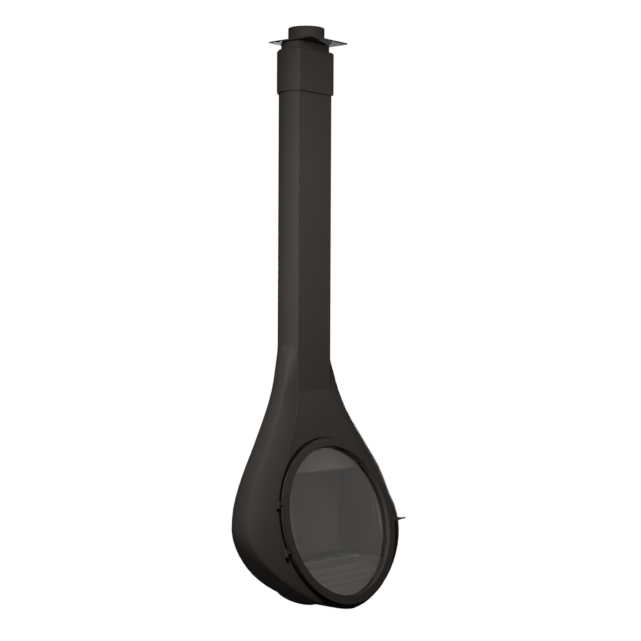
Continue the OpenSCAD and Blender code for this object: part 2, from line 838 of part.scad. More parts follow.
module inlet_grille() {
  color(dark_steel) on_axis() on_inlet() difference() {
    translate([0, 0, inlet_out - 12]) cylinder(r = inlet_r - inlet_t, h = grille_t);
    translate([0, 0, inlet_out - 12]) windows(45);
    translate([0, 0, inlet_out - 13]) cylinder(d = 8, h = grille_t + 2);
  }
}

// Turning disc that opens and closes the windows, with a finger tab
module air_disc() {
  color(steel) on_axis() on_inlet() translate([0, 0, inlet_out - 12 + grille_t + fit_gap]) difference() {
    union() {
      cylinder(r = inlet_r - inlet_t - 2, h = disc_t);
      translate([-2, 24, disc_t - eps]) cube([4, 34, tab_l]);
    }
    windows(45);
    translate([0, 0, -1]) cylinder(d = 8 + 2 * pin_gap, h = 8);
  }
}

module air_disc_bolt() {
  color(bare_steel) on_axis() on_inlet() {
    translate([0, 0, inlet_out - 12 - 6]) cylinder(d = 8, h = 6 + grille_t + fit_gap + disc_t + fit_gap);
    translate([0, 0, inlet_out - 12 + grille_t + 2 * fit_gap + disc_t]) cylinder(d = 16, h = 5, $fn = 6);
    translate([0, 0, inlet_out - 12 - 5]) cylinder(d = 15, h = 5, $fn = 6);
  }
}

// ---------- door ----------

module door_frame() {
  color(steel) on_axis() on_face() difference() {
    union() {
      face_ring(ring_r, glass_r, slot_high, ring_out);
      face_ring(glass_r + tube_t, glass_r, glass_front + gasket_t, ring_out);
      face_ring(seal_plate_r, glass_r + tube_t - eps, rope_d, slot_low);
    }
    for (i = [0:retainer_screws_n - 1]) retainer_at(i) cylinder(d = retainer_screw_d, h = slot_low);
    translate([pivot_x, -lever_drop, 0]) cylinder(d = pivot_d, h = slot_high + ring_t / 2);
  }
}

module retainer_at(i) {
  rotate([0, 0, (i + 0.5) * 360 / retainer_screws_n]) translate([retainer_screw_r, 0, 0]) children();
}

module glass_gasket() {
  color(rope) on_axis() on_face() face_ring(glass_disc_r, glass_r, glass_front, glass_front + gasket_t);
}

module door_glass() {
  color([0.35, 0.33, 0.31, 0.45]) on_axis() on_face()
    translate([0, 0, glass_front - glass_t]) cylinder(r = glass_disc_r, h = glass_t);
}

module glass_retainer() {
  color(dark_steel) on_axis() on_face() difference() {
    face_ring(retainer_r, glass_r - 4, glass_front - glass_t - retainer_t, glass_front - glass_t);
    for (i = [0:retainer_screws_n - 1])
      retainer_at(i) translate([0, 0, -10]) cylinder(d = retainer_screw_d, h = 12);
  }
}

module retainer_screws() {
  low = glass_front - glass_t - retainer_t;
  color(bare_steel) on_axis() on_face() for (i = [0:retainer_screws_n - 1]) retainer_at(i) {
    translate([0, 0, low]) cylinder(d = retainer_screw_d, h = slot_low - low);
    translate([0, 0, low - 2]) cylinder(d = 7, h = 2);
    translate([0, 0, glass_front - glass_t]) cylinder(d = 7, h = rope_d - glass_front + glass_t);
  }
}

module door_seal() {
  color(rope) on_axis() on_face() translate([0, 0, rope_d / 2 + fit_gap / 2])
    rotate_extrude() translate([seal_r, 0]) circle(d = rope_d - fit_gap, $fn = 32);
}

// A stretch of hinge barrel round the hinge line
module barrel(low, high, bore) {
  translate([-hinge_x, low, hinge_out]) rotate([-90, 0, 0]) difference() {
    cylinder(r = knuckle_r, h = high - low);
    translate([0, 0, -1]) cylinder(d = bore, h = high - low + 2);
  }
}

module hinge_brackets() {
  reach = sqrt(pow(face_r - 2, 2) - pow(hinge_rise - leaf_h / 2, 2));
  color(steel) on_axis() on_face() for (s = [-1, 1]) translate([0, s * hinge_rise, 0]) difference() {
    union() {
      translate([-hinge_x - 2, -leaf_h / 2, 0]) cube([hinge_x + 2 - leaf_root(), leaf_h, leaf_t]);
      for (k = [-1, 1]) translate([0, k * (knuckle_l + knuckle_gap) - knuckle_l / 2, 0])
        barrel(0, knuckle_l, hinge_pin_d);
    }
    translate([-hinge_x, -knuckle_l / 2 - knuckle_gap, hinge_out]) rotate([-90, 0, 0])
      cylinder(r = knuckle_r + 0.5, h = knuckle_l + 2 * knuckle_gap);
    translate([-hinge_x, -leaf_h, hinge_out]) rotate([-90, 0, 0]) cylinder(d = hinge_pin_d, h = 2 * leaf_h);
  }
}

// Where the fixed leaf ends, just outside the rope seal
function leaf_root() = sqrt(pow(seal_r + rope_d / 2 + 0.5, 2) - pow(hinge_rise - leaf_h / 2, 2));

module door_knuckles() {
  root = sqrt(pow(seal_plate_r, 2) - pow(hinge_rise, 2)) - 1;
  color(steel) on_axis() on_face() for (s = [-1, 1]) translate([0, s * hinge_rise, 0]) {
    barrel(-knuckle_l / 2, knuckle_l / 2, hinge_pin_d + 2 * pin_gap);
    difference() {
      translate([-hinge_x, -knuckle_l / 2, rope_d]) cube([hinge_x - root, knuckle_l, seal_plate_t]);
      translate([-hinge_x, -knuckle_l, hinge_out]) rotate([-90, 0, 0]) cylinder(r = knuckle_r - 0.5, h = 2 * knuckle_l);
      translate([0, -s * hinge_rise, rope_d - 1]) cylinder(r = seal_plate_r, h = seal_plate_t + 2);
    }
  }
}

module hinge_pins() {
  color(bare_steel) on_axis() on_face() for (s = [-1, 1])
    translate([-hinge_x, s * hinge_rise - leaf_h / 2 - 1, hinge_out]) rotate([-90, 0, 0]) {
      cylinder(d = hinge_pin_d, h = leaf_h + 2);
      translate([0, 0, leaf_h + 2]) cylinder(d = hinge_pin_d + 3, h = 2);
    }
}

// ---------- latch ----------

// Frame of the latch: its pivot on the door, Z out of the face
module on_latch() {
  translate([pivot_x, -lever_drop, 0]) children();
}

module latch_pivot() {
  color(bare_steel) on_axis() on_face() on_latch()
    translate([0, 0, rope_d]) cylinder(d = pivot_d, h = slot_high + ring_t / 2 - rope_d);
}

module latch_lever() {
  color(bare_steel) on_axis() on_face() on_latch() translate([0, 0, lever_low]) difference() {
    union() {
      cylinder(d = 15, h = lever_t);
      translate([0, -lever_w / 2, 0]) cube([blade_length, lever_w, lever_t]);
      translate([-tongue_w / 2, 0, 0]) cube([tongue_w, tongue_length, lever_t]);
    }
    translate([0, 0, -1]) cylinder(d = pivot_d + 2 * pin_gap, h = lever_t + 2);
  }
}

module lever_grip() {
  grip_l = lever_length - blade_length;
  tip_d = grip_d * 0.55;
  color(bare_steel) on_axis() on_face() on_latch()
    translate([blade_length, 0, lever_low + lever_t / 2]) rotate([0, 90, 0]) rotate_extrude()
      polygon([[0, 0], [grip_d / 2, 0], [grip_d / 2, 3], [tip_d / 2, grip_l * 0.55], [tip_d / 2, grip_l - 2],
               [tip_d / 2 - 1.5, grip_l], [0, grip_l]]);
}

// Hook on the front face that the lever's tongue turns behind
module latch_keeper() {
  high = slot_high + 0.5;
  color(steel) on_axis() on_face() translate([0, lever_w / 2 + 4 - lever_drop, 0]) {
    translate([seal_plate_r + 2, 0, 0]) cube([keeper_x + 13.5 - seal_plate_r - 2, keeper_h, keeper_t]);
    translate([keeper_x + 10, 0, 0]) cube([3.5, keeper_h, high + keeper_t]);
    translate([keeper_x, 0, high]) cube([13.5, keeper_h, keeper_t]);
  }
}

ceiling_plate();
flue_spigot();
hanger_collar();
collar_screws();
cover_sleeve();
sleeve_shoulder();
sleeve_glides();
column_casing();
flue_liner();
liner_spacers();
joint_band();
throat_plate();
smoke_dome();
pod_shell();
front_plate();
firebox_tub();
tub_brackets();
lining_back();
lining_left();
lining_right();
hearth_slab();
hearth_apron();
log_rail();
grate();
ash_pan();
baffle_rails();
baffle_lower();
baffle_spacers();
baffle_upper();
air_wash_board();
air_duct();
inlet_collar();
inlet_grille();
air_disc();
air_disc_bolt();
door_frame();
glass_gasket();
door_glass();
glass_retainer();
retainer_screws();
door_seal();
hinge_brackets();
door_knuckles();
hinge_pins();
latch_pivot();
latch_lever();
lever_grip();
latch_keeper();
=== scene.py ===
# %% [markdown]
# # A hanging fireplace, dressed for a photograph
# The real object is a wood stove that hangs from the ceiling by its own flue. Sheet steel is bent and
# welded into a teardrop, sprayed with a matt heat-proof paint, and closed by a round glass door. The
# measured model of every part is loaded first. This file gives those parts soft edges, smooth curves
# and real finishes, and then lights them as a photographer would.

# %% Load the measured parts
import json
from math import atan2, cos, pi, radians, sin, sqrt, tau

import bmesh
import bpy
from mathutils import Matrix, Vector

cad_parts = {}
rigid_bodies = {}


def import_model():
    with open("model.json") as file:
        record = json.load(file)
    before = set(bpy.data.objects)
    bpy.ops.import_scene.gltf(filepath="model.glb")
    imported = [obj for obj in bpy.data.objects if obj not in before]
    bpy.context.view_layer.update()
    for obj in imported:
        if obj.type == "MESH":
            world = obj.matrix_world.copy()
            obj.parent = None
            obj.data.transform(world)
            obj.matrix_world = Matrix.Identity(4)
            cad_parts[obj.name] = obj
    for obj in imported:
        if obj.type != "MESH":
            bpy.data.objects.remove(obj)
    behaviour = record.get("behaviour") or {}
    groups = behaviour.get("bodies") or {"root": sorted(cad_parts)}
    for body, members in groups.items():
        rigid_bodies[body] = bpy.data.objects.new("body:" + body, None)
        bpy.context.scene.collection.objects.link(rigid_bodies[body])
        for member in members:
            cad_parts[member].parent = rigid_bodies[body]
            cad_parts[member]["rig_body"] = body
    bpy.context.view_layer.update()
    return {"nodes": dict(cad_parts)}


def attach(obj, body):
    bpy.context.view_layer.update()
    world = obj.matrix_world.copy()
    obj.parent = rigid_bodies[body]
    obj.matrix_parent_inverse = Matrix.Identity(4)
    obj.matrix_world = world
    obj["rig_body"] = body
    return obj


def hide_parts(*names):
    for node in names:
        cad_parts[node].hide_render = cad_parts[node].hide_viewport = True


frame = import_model()
print("parts loaded:", len(frame["nodes"]))

# %% [markdown]
# ## Sizes that the pieces share
# Blender works in metres. The flue axis stands a little behind the middle of the ceiling plate, and
# the door lies in a plane that leans back at the top. A matrix that carries points from the door's
# own flat plane into the room saves a great deal of trigonometry later on.

# %% Shared sizes and the door's plane
MM = 0.001
AXIS_Y = 10 * MM
DOOR_DROP = 1957 * MM
FACE_FORWARD = 181 * MM
FACE_TILT = radians(13.9)
GLASS_R = 303 * MM
RING_R = 338 * MM
TUBE_R = 306 * MM
SEAL_PLATE_R = 333 * MM
SEAL_R = 327 * MM
RING_OUT = 20 * MM
RING_T = 4 * MM
ROPE_D = 8 * MM
SEAL_THICK = 3.85 * MM
SEAL_HEIGHT = 4.15 * MM
SEAL_PLATE_OUT = 11 * MM
GLASS_BED = 3 * MM
# Radius in the door plane, and the ball's centre ahead of the door, for the painted shadow on the front
# plate round the door.
GAP_SHADOW_R = 345 * MM
GAP_SHADOW_AHEAD = 400 * MM

ON_FACE = Matrix.Translation((0, AXIS_Y - FACE_FORWARD, -DOOR_DROP)) @ Matrix.Rotation(
    pi / 2 - FACE_TILT, 4, "X"
)
print("door plane leans back", round(FACE_TILT * 180 / pi, 1), "degrees")

# %% [markdown]
# ## Writing shader maths as sums
# A paint or a board is never one flat colour: it clouds, speckles and wears. In the node editor that
# takes dozens of little Math nodes. A small class that wraps a socket lets us write the same thing as
# a Python sum, such as `0.6 + cloud * 0.1`, and each operator quietly adds its node.


# %% A socket that can be added and multiplied
class Wire:
    """One output socket of a material, with arithmetic."""

    def __init__(self, recipe, socket):
        self.recipe = recipe
        self.socket = socket

    def _math(self, operation, first, second=None):
        values = [first] if second is None else [first, second]
        return self.recipe.node("ShaderNodeMath", {"operation": operation}, dict(enumerate(values)))

    def __add__(self, other):
        return self._math("ADD", self, other)

    def __sub__(self, other):
        return self._math("SUBTRACT", self, other)

    def __rsub__(self, other):
        return self._math("SUBTRACT", other, self)

    def __mul__(self, other):
        return self._math("MULTIPLY", self, other)

    __radd__ = __add__
    __rmul__ = __mul__

    def wave(self):
        return self._math("SINE", self)

    def clamp(self):
        return self._math("MAXIMUM", self._math("MINIMUM", self, 1.0), 0.0)


class Recipe:
    """A material, or the world, that is being written."""

    def __init__(self, name, owner=None):
        self.owner = owner or bpy.data.materials.new(name)
        self.owner.use_nodes = True
        self.tree = self.owner.node_tree
        self.tree.nodes.clear()

    def node(self, kind, settings=None, inputs=None, out=0):
        made = self.tree.nodes.new(kind)
        for key, value in (settings or {}).items():
            setattr(made, key, value)
        for key, value in (inputs or {}).items():
            if isinstance(value, Wire):
                self.tree.links.new(value.socket, made.inputs[key])
            else:
                made.inputs[key].default_value = value
        return Wire(self, made.outputs[out])

    def place(self):
        return self.node("ShaderNodeTexCoord", out="Object")

    def stretch(self, vector, scale):
        return self.node("ShaderNodeMapping", None, {"Vector": vector, "Scale": scale})

    def noise(self, vector, scale, detail=2.0, rough=0.5):
        return self.node(
            "ShaderNodeTexNoise",
            None,
            {"Vector": vector, "Scale": scale, "Detail": detail, "Roughness": rough},
        )

    def between(self, share, low, high):
        """A colour that goes from low to high as share goes from 0 to 1."""
        low, high = (c if isinstance(c, Wire) else (*c, 1.0) for c in (low, high))
        inputs = {"Factor": share, 6: low, 7: high}
        return self.node("ShaderNodeMix", {"data_type": "RGBA"}, inputs, out=2)

    def ramp(self, share, low, high):
        """Share, spread so that low becomes 0 and high becomes 1."""
        return ((share - low) * (1 / (high - low))).clamp()

    def bump(self, height, distance, strength=1.0):
        return self.node(
            "ShaderNodeBump", None, {"Height": height, "Distance": distance, "Strength": strength}
        )

    def shader(self, inputs):
        return self.node("ShaderNodeBsdfPrincipled", None, inputs)

    def finish(self, surface, output="ShaderNodeOutputMaterial"):
        end = self.tree.nodes.new(output)
        self.tree.links.new(surface.socket, end.inputs["Surface"])
        print("finish:", self.owner.name, len(self.tree.nodes), "nodes")
        return self.owner


def shade(colour, by):
    return tuple(c * by for c in colour)


# %% [markdown]
# ## The matt paint
# Heat-proof stove paint dries to a fine, dry grain, like very smooth sandpaper. It hardly shines, so
# its specular level is low and its roughness high. Three noises do the work: a slow cloud that shifts
# the grey by a few hundredths, the grain itself, and a faint waviness that sheet steel keeps after it
# has been rolled. The front plate has a variant that goes nearly black where the door closes over it.
# Whether the real plate is darker there can't be seen, but the dark line round the door can, and the
# near-black is painted shadow for that line, the shade in the gap under the ring. It could be a piece
# of its own; here it is all that lies inside a large ball in front of the door, because a ball cuts a
# flat plate in a clean circle.

# %% Matt stove paint
PAINT = (0.0742, 0.0645, 0.0577)
# Near-black of the painted shadow in the gap round the door.
PAINTED_GAP_SHADOW = (0.008, 0.008, 0.008)


def matt_paint(name, colour, shine=0.12, gap_shadow=False):
    recipe = Recipe(name)
    here = recipe.place()
    cloud = recipe.noise(here, 3.0, 3.0)
    grain = recipe.noise(here, 1400.0, 2.0, 0.6)
    mottle = recipe.noise(here, 120.0, 3.0, 0.6)
    tint = recipe.between(cloud * 0.7 + mottle * 0.3, shade(colour, 0.88), shade(colour, 1.12))
    flecks = recipe.ramp(recipe.noise(here, 700.0, 1.0), 0.66, 0.78)
    tint = recipe.between(flecks * 0.35, tint, shade(colour, 1.7))
    # Painted shadow: inside the ball round the door, the paint turns near-black.
    if gap_shadow:
        ahead = ON_FACE @ Vector((0, 0, GAP_SHADOW_AHEAD))
        reach = sqrt(GAP_SHADOW_AHEAD**2 + GAP_SHADOW_R**2)
        far = recipe.node(
            "ShaderNodeVectorMath", {"operation": "DISTANCE"}, {0: here, 1: tuple(ahead)}, out="Value"
        )
        tint = recipe.between(recipe.ramp(far, reach - 1 * MM, reach), PAINTED_GAP_SHADOW, tint)
    dents = recipe.bump(recipe.noise(here, 9.0, 1.0), 0.0008, 0.25)
    fine = recipe.node(
        "ShaderNodeBump", None, {"Height": grain, "Distance": 0.00025, "Strength": 0.5, "Normal": dents}
    )
    surface = recipe.shader(
        {
            "Base Color": tint,
            "Roughness": 0.6 + mottle * 0.12,
            "Specular IOR Level": shine,
            "Normal": fine,
        }
    )
    return recipe.finish(surface)


stove_paint = matt_paint("stove_paint", PAINT)
# Front-plate paint that carries the painted shadow round the door.
gap_shadow_paint = matt_paint("gap_shadow_paint", PAINT, gap_shadow=True)
lever_paint = matt_paint("lever_paint", shade(PAINT, 1.1), 0.4)

# %% [markdown]
# ## Steel that is not painted
# Inside the stove the steel is dull and browned by heat. The flue liner is brushed stainless sheet,
# whose scratches run along it, so its noise is squeezed across and stretched along the column. Bolts
# and pins are plain bare steel.


# %% Bare, brushed and heat-browned steel
def bare_metal(name, colour, rough, scratch):
    recipe = Recipe(name)
    here = recipe.place()
    brushed = recipe.noise(recipe.stretch(here, scratch), 1.0, 4.0, 0.7)
    cloud = recipe.noise(here, 14.0, 3.0)
    tint = recipe.between(cloud, shade(colour, 0.86), shade(colour, 1.1))
    surface = recipe.shader(
        {
            "Base Color": tint,
            "Metallic": 1.0,
            "Roughness": rough + brushed * 0.18,
            "Normal": recipe.bump(brushed, 0.00006, 0.6),
        }
    )
    return recipe.finish(surface)


liner_steel = bare_metal("liner_steel", (0.42, 0.41, 0.40), 0.24, (900.0, 900.0, 12.0))
bolt_steel = bare_metal("bolt_steel", (0.45, 0.45, 0.46), 0.3, (700.0, 700.0, 700.0))


def heat_browned(name):
    recipe = Recipe(name)
    here = recipe.place()
    bloom = recipe.ramp(recipe.noise(here, 6.0, 5.0, 0.6), 0.35, 0.7)
    grain = recipe.noise(here, 600.0, 3.0, 0.6)
    tint = recipe.between(bloom, (0.026, 0.025, 0.024), (0.044, 0.038, 0.033))
    surface = recipe.shader(
        {
            "Base Color": tint,
            "Roughness": 0.62 + bloom * 0.16,
            "Specular IOR Level": 0.3,
            "Normal": recipe.bump(grain, 0.0003, 0.4),
        }
    )
    return recipe.finish(surface)


# Besides the firebox steel, this dark steel is also painted shade in the gap behind the door ring's
# lip.
inner_steel = heat_browned("inner_steel")

# %% [markdown]
# ## Fire board
# The boards are pressed flakes of mineral that smoke darkens. A picture of real board could be laid on
# them, but it would stretch at the edges. A cell pattern in the room's own coordinates gives the
# flakes, and a slow cloud the soot. Four boards differ only in their base tone, and the right one's
# much darker tone is painted shade.


# %% Pressed fire board
def fire_board(name, colour):
    recipe = Recipe(name)
    here = recipe.place()
    flakes = recipe.node(
        "ShaderNodeTexVoronoi", None, {"Vector": here, "Scale": 330.0, "Randomness": 1.0}
    )
    soot = recipe.ramp(recipe.noise(here, 6.0, 4.0, 0.6), 0.3, 0.75)
    fibre = recipe.noise(here, 700.0, 3.0, 0.65)
    clean = recipe.between(recipe.ramp(flakes, 0.15, 0.7), shade(colour, 1.15), shade(colour, 0.8))
    tint = recipe.between(soot * 0.5, clean, shade(colour, 0.5))
    surface = recipe.shader(
        {
            "Base Color": tint,
            "Roughness": 0.86 + fibre * 0.1,
            "Specular IOR Level": 0.1,
            "Normal": recipe.bump(fibre * 0.6 + flakes * 0.4, 0.0003, 0.35),
        }
    )
    return recipe.finish(surface)


board = fire_board("fire_board", (0.051, 0.043, 0.037))
clean_board = fire_board("clean_board", (0.058, 0.050, 0.044))
# Painted shade: the right lining's board is much darker than the others.
shade_darkened_board = fire_board("shade_darkened_board", (0.018, 0.014, 0.011))
top_board = fire_board("top_board", (0.118, 0.105, 0.093))

# %% [markdown]
# ## Cast iron
# The grate and the log rail are cast, and cast iron keeps the texture of the sand it was poured in.
# One fine noise makes both the roughness and the bumps, so that the two agree, and a slower one lays
# pale ash on some of it.


# %% Cast iron
def cast_iron(name):
    recipe = Recipe(name)
    here = recipe.place()
    sand = recipe.noise(here, 320.0, 4.0, 0.7)
    ash = recipe.ramp(recipe.noise(here, 22.0, 4.0), 0.52, 0.8)
    tint = recipe.between(ash * 0.5, (0.032, 0.032, 0.033), (0.11, 0.105, 0.10))
    surface = recipe.shader(
        {"Base Color": tint, "Roughness": 0.66 + sand * 0.2, "Normal": recipe.bump(sand, 0.0007, 0.5)}
    )
    return recipe.finish(surface)


iron = cast_iron("cast_iron")

# %% [markdown]
# ## Rope and felt
# The rope that seals the door is knitted from glass fibre, and its stitches follow the ring. A
# pattern in the room's coordinates would run straight through it, so the stitches read the ring's own
# two coordinates. Two waves that cross give the knit. Felt has no direction, and one noise is enough.


# %% Knitted glass-fibre rope, and felt
ROPE_STITCHES = 700.0


def knitted_rope(name):
    recipe = Recipe(name)
    strip = recipe.node("ShaderNodeUVMap", {"uv_map": "ring"})
    parts = recipe.node("ShaderNodeSeparateXYZ", None, {0: strip})
    across = Wire(recipe, parts.socket.node.outputs["Y"])
    one = (parts * ROPE_STITCHES * tau + across * tau).wave()
    two = (parts * ROPE_STITCHES * tau - across * tau).wave()
    stitch = (one * two * 0.5 + 0.5).clamp()
    tint = recipe.between(stitch, (0.030, 0.030, 0.030), (0.085, 0.084, 0.082))
    surface = recipe.shader(
        {
            "Base Color": tint,
            "Roughness": 0.9,
            "Sheen Weight": 0.25,
            "Sheen Roughness": 0.5,
            "Normal": recipe.bump(stitch, 0.0006, 0.7),
        }
    )
    return recipe.finish(surface)


def felt(name, colour):
    recipe = Recipe(name)
    here = recipe.place()
    fuzz = recipe.noise(here, 1100.0, 4.0, 0.75)
    tint = recipe.between(fuzz, shade(colour, 0.6), shade(colour, 1.5))
    surface = recipe.shader(
        {
            "Base Color": tint,
            "Roughness": 0.95,
            "Sheen Weight": 0.3,
            "Normal": recipe.bump(fuzz, 0.0005, 0.6),
        }
    )
    return recipe.finish(surface)


rope = knitted_rope("rope_seal")
dark_felt = felt("dark_felt", (0.06, 0.06, 0.06))

# %% [markdown]
# ## The door glass
# The pane is clear heat-proof glass. Light has to pass through it to reach the firebox, but a path
# tracer treats clear glass as a wall when it looks for lamps. The usual cure is to let those shadow
# rays through a Transparent shader, with a very slight tint for the light that the pane keeps.


# %% Heat-proof glass
def pane_glass(name):
    recipe = Recipe(name)
    smear = recipe.ramp(recipe.noise(recipe.place(), 5.0, 4.0, 0.6), 0.4, 0.8)
    glass = recipe.shader(
        {
            "Base Color": (0.90, 0.875, 0.845, 1.0),
            "Transmission Weight": 1.0,
            "Roughness": 0.012 + smear * 0.02,
            "IOR": 1.47,
        }
    )
    through = recipe.node("ShaderNodeBsdfTransparent", None, {"Color": (0.86, 0.85, 0.83, 1.0)})
    lamp_ray = recipe.node("ShaderNodeLightPath", out="Is Shadow Ray")
    return recipe.finish(recipe.node("ShaderNodeMixShader", None, {0: lamp_ray, 1: glass, 2: through}))


door_glass = pane_glass("door_glass")

# %% [markdown]
# ## Taking over a measured part
# The measured parts arrive as loose triangles with knife-sharp edges. Real sheet steel has an edge
# that catches a thin line of light, and a rolled tube has no flat strips. So each part that shows is
# copied, its triangles are welded together and melted back into whole faces, and a narrow bevel is
# put on every corner. The copy then stands in for the original.


# %% Copy a part, weld it and soften its edges
def add_piece(name, mesh, body, material):
    piece = bpy.data.objects.new(name, mesh)
    bpy.context.scene.collection.objects.link(piece)
    mesh.materials.clear()
    mesh.materials.append(material)
    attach(piece, body)
    return piece


def soften(piece, width, corner=30.0, segments=2):
    """Smooth shading, with a narrow bevel on the corners."""
    piece.data.shade_smooth()
    piece.data.set_sharp_from_angle(angle=radians(corner))
    if width:
        edge = piece.modifiers.new("edge", "BEVEL")
        edge.limit_method = "ANGLE"
        edge.angle_limit = radians(corner)
        edge.width = width
        edge.segments = segments
        edge.harden_normals = True


def take_over(node, material, width=0.5 * MM, corner=30.0, segments=2, melt=True):
    source = frame["nodes"][node]
    work = bmesh.new()
    work.from_mesh(source.data)
    bmesh.ops.remove_doubles(work, verts=work.verts, dist=0.004 * MM)
    if melt:
        bmesh.ops.dissolve_limit(
            work,
            angle_limit=radians(0.4),
            use_dissolve_boundaries=False,
            verts=work.verts,
            edges=work.edges,
        )
    mesh = bpy.data.meshes.new(node + "_dressed")
    work.to_mesh(mesh)
    work.free()
    piece = add_piece(node + "_dressed", mesh, source["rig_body"], material)
    soften(piece, width, corner, segments)
    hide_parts(node)
    print(node + ":", len(source.data.polygons), "triangles are now", len(mesh.polygons), "faces")


# %% [markdown]
# ## Hanger, column and sleeve
# From the ceiling down come the square plate, the round flue spigot, the neck of the hanger and the
# long column. Its section is a circle with a flat front. The sleeve slides on the column and hides
# the screws. All of them are painted sheet, so they share the paint and differ only in edge width.

# %% Painted sheet around the flue
for node, width in {
    "ceiling_plate": 0.8,
    "flue_spigot": 0.4,
    "hanger_collar": 0.6,
    "cover_sleeve": 0.5,
    "sleeve_shoulder": 0.4,
    "column_casing": 0.6,
}.items():
    take_over(node, stove_paint, width * MM)

take_over("collar_screws", bolt_steel, 0.3 * MM)
for node in ("flue_liner", "liner_spacers"):
    take_over(node, liner_steel, 0.3 * MM)
take_over("sleeve_glides", dark_felt, 0.8 * MM)

# %% [markdown]
# ## The pod
# The pod is one drawn and welded shell with a flat front plate let into it. Its shell is a smooth
# curve in every direction, so its many facets are welded and shaded as one surface, and only the rim
# round the front and the hole underneath stay sharp. The plate has only the finest bevel, so that
# little light gathers along the crease, where the photograph shows no bright line.

# %% Shell and front plate
take_over("pod_shell", stove_paint, 0, corner=35.0, melt=False)
# The front plate's paint carries the painted shadow round the door.
take_over("front_plate", gap_shadow_paint, 0.15 * MM, corner=12.0)

# %% [markdown]
# ## Inside the firebox
# What the glass shows is mostly dark: boards behind and beside the fire, a board above that sends
# the air down the pane, and a ribbed apron below. The top board is the palest and the right one the
# darkest, as the tones behind the glass suggest; the right one's darkness is painted shade. They are
# cut from thick slabs, so their corners are broken a little wider than those of the steel.

# %% Boards, iron and inner steel
for node in ("lining_back", "lining_left", "baffle_lower", "baffle_spacers", "baffle_upper"):
    take_over(node, board, 1.2 * MM, segments=3)
# The right lining gets the darker board as painted shade.
take_over("lining_right", shade_darkened_board, 1.2 * MM, segments=3)
for node in ("hearth_slab", "hearth_apron"):
    take_over(node, clean_board, 1.2 * MM, segments=3)
take_over("air_wash_board", top_board, 1.2 * MM, segments=3)
for node in ("grate", "log_rail"):
    take_over(node, iron, 0.9 * MM, segments=3)
for node in (
    "firebox_tub", "joint_band", "throat_plate", "tub_brackets", "ash_pan", "baffle_rails",
    "air_duct", "inlet_grille", "glass_retainer",
):
    take_over(node, inner_steel, 0.4 * MM)
take_over("smoke_dome", inner_steel, 0)

# %% [markdown]
# ## Air inlet
# Under the pod a short round collar holds a grille with round windows. A disc turns against it to
# open and close them, as on an old pepper pot.

# %% Collar, disc and bolt
take_over("inlet_collar", stove_paint, 0.8 * MM)
take_over("air_disc", lever_paint, 0.5 * MM)
take_over("air_disc_bolt", bolt_steel, 0.4 * MM)

# %% [markdown]
# ## The door ring
# The ring is a turned shape, so it is spun: half of its outline is drawn as a thin profile in the
# door's plane and swept once round the middle. A wide front lip hides a narrower rim behind it, and
# that overhang, with painted shade, draws the dark line round the door: the faces behind the lip
# take the dark heat-browned steel so that the gap stays dark where the lamp shines into it.

# %% Spin the ring
RING_PROFILE = [
    (GLASS_R, RING_OUT), (RING_R, RING_OUT), (RING_R, RING_OUT - RING_T), (TUBE_R, RING_OUT - RING_T),
    (TUBE_R, SEAL_PLATE_OUT), (SEAL_PLATE_R, SEAL_PLATE_OUT), (SEAL_PLATE_R, ROPE_D), (TUBE_R, ROPE_D),
    (TUBE_R, GLASS_BED), (GLASS_R, GLASS_BED),
]


def spun(name, profile, steps, placed):
    """A closed outline of (radius, height) points, turned once round the Z axis."""
    work = bmesh.new()
    corners = [work.verts.new((r, 0, z)) for r, z in profile]
    edges = [work.edges.new((a, b)) for a, b in zip(corners, corners[1:] + corners[:1])]
    bmesh.ops.spin(
        work,
        geom=corners + edges,
        cent=(0, 0, 0),
        axis=(0, 0, 1),
        angle=tau,
        steps=steps,
        use_merge=True,
    )
    bmesh.ops.remove_doubles(work, verts=work.verts, dist=0.001 * MM)
    bmesh.ops.recalc_face_normals(work, faces=work.faces)
    bmesh.ops.transform(work, matrix=placed, verts=work.verts)
    mesh = bpy.data.meshes.new(name)
    work.to_mesh(mesh)
    work.free()
    return mesh


ring_mesh = spun("door_ring", RING_PROFILE, 240, ON_FACE)
ring = add_piece("door_ring", ring_mesh, "door", stove_paint)
# Second slot: the dark browned steel, painted shade for the faces in the gap behind the lip.
ring.data.materials.append(inner_steel)
to_door_plane = ON_FACE.inverted()
gap_shade_faces = 0
# Faces behind the lip, away from the glass edge, take the dark steel as painted shade.
for face in ring.data.polygons:
    at = to_door_plane @ face.center
    in_gap_shade = at.z < RING_OUT - 0.5 * MM and Vector((at.x, at.y)).length > GLASS_R + 1 * MM
    face.material_index = int(in_gap_shade)
    gap_shade_faces += in_gap_shade
soften(ring, 0.9 * MM, corner=40.0, segments=3)
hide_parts("door_frame")
print("door ring:", len(ring.data.polygons), "faces,", gap_shade_faces, "of them dark behind the lip")

# %% [markdown]
# ## Glass, gasket and screws
# The pane lies against a thin gasket behind the ring and is held by a flat retaining ring with small
# screws, which show when the door is open.

# %% Dress the door's flat parts
take_over("door_glass", door_glass, 0.3 * MM)
take_over("glass_gasket", dark_felt, 0)
take_over("retainer_screws", bolt_steel, 0.3 * MM)

# %% [markdown]
# ## The rope seal
# A round rope lies in the corner behind the ring and is squeezed against the front of the stove. It
# is a ring with a round section, and it gets its own pair of coordinates: the way round the door,
# and the way round the rope.


